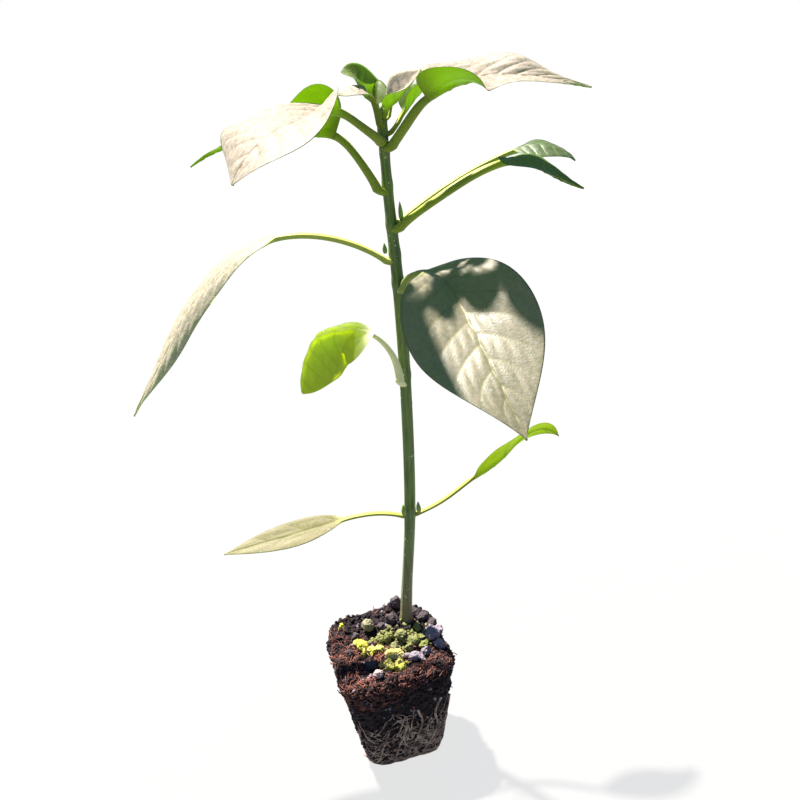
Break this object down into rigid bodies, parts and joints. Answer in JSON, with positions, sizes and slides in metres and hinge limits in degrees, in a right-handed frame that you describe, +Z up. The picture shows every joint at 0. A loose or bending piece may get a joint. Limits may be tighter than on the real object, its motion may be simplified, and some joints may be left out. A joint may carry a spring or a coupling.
{
  "type": "chili pepper plug seedling",
  "caption": "Young chili pepper plant with a slender stem, seed leaves, arching pointed true leaves and a leafy tip, rooted in a bare tapered peat plug.",
  "frame": {"origin": "centre of the peat plug's flat bottom", "axes": "+Z up along the stem, +X to the side of the large hanging leaf's tip, +Y to the back of the plant"},
  "size_m": [0.1377, 0.0818, 0.2209],
  "materials": {
    "leaf": "satin, waxy, faintly quilted living leaf, light showing through",
    "cotyledon": "satin, fleshy seed leaf",
    "bud": "satin, tender young growth",
    "stem": "satin, ribbed, pale specks",
    "peat": "rough, crumbly, fibrous, moist",
    "perlite": "rough, pitted mineral grain",
    "root": "matt, soft and fibrous"
  },
  "bodies": {
    "root": {"bud_cotyledon_left": "bud", "bud_cotyledon_right": "bud", "bud_middle": "bud", "bud_side": "bud", "cotyledon_left": "cotyledon", "cotyledon_right": "cotyledon", "grain_corner": "perlite", "grain_front": "perlite", "grain_green": "perlite", "grain_long": "perlite", "grain_middle": "perlite", "grain_right": "perlite", "grain_rim": "perlite", "grain_round": "perlite", "leaf_front_right": "leaf", "leaf_hanging_left": "leaf", "leaf_left_front": "leaf", "leaf_left_rear": "leaf", "leaf_long_left": "leaf", "leaf_right_high": "leaf", "leaf_right_low": "leaf", "leaf_small_left": "leaf", "leaf_small_right": "leaf", "leaf_top_right": "leaf", "leaf_young_front": "leaf", "leaf_young_left": "leaf", "leaf_youngest": "leaf", "main_stem": "stem", "peat_plug": "peat", "root_back": "root", "root_corner": "root", "root_front": "root", "root_front_left": "root", "root_front_right": "root", "root_left": "root", "root_right": "root"}
  },
  "joints": []
}
